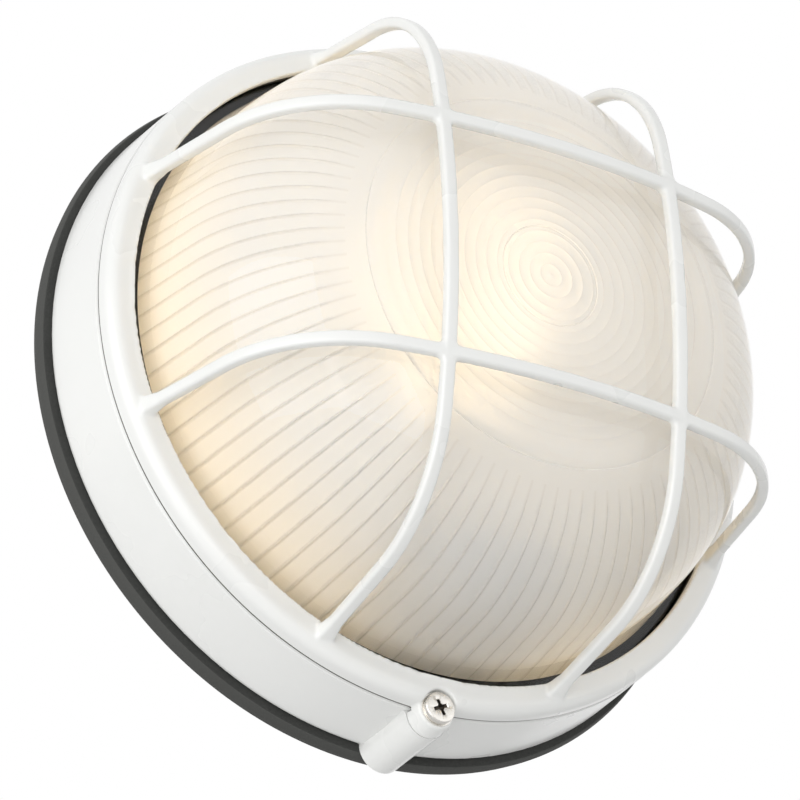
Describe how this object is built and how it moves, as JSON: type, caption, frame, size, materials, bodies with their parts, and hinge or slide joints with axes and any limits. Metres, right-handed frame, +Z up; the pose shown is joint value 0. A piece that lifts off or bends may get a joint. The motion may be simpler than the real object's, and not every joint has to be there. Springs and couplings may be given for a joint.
{
  "type": "bulkhead light",
  "caption": "Round wall-mounted bulkhead light: cast base with a foam wall gasket, ribbed frosted glass dome and a cast ring guard with crossing bars, held by screws in side lugs.",
  "frame": {"origin": "middle of the wall face, on the back of the foam gasket", "axes": "+X to the viewer's right, +Y into the wall, +Z up; the light faces -Y"},
  "size_m": [0.214, 0.1072, 0.2214],
  "materials": {
    "white_paint": "gloss white powder coat on cast aluminium",
    "foam_rubber": "matt closed-cell foam",
    "black_rubber": "satin moulded rubber",
    "frosted_glass": "clear outside, ribbed and etched inside",
    "lamp_glass": "opal",
    "porcelain": "glazed porcelain",
    "brass": "plain",
    "zinc_steel": "bright zinc plate",
    "nickel": "nickel plate"
  },
  "bodies": {
    "base": {"wall_gasket": "foam_rubber", "base_housing": "white_paint", "cable_grommet": "black_rubber", "earth_screw": "brass", "earth_washer": "brass", "holder_bracket": "zinc_steel", "bracket_screws": "zinc_steel", "bracket_washers": "zinc_steel", "lampholder_body": "porcelain", "lampholder_shell": "brass", "lampholder_contact": "brass", "terminal_plates": "brass", "terminal_screws": "brass", "lampholder_screws": "zinc_steel", "lampholder_nuts": "zinc_steel", "lamp": "lamp_glass"},
    "cover": {"glass_seal": "black_rubber", "glass_dome": "frosted_glass", "guard": "white_paint", "screw_washers": "nickel", "retaining_screw_upper": "nickel", "retaining_screw_lower": "nickel"}
  },
  "joints": [
    {"name": "cover_lift", "type": "slide", "parent": "base", "child": "cover", "axis": [0, -1, 0], "range_m": [0, 0.11]}
  ]
}
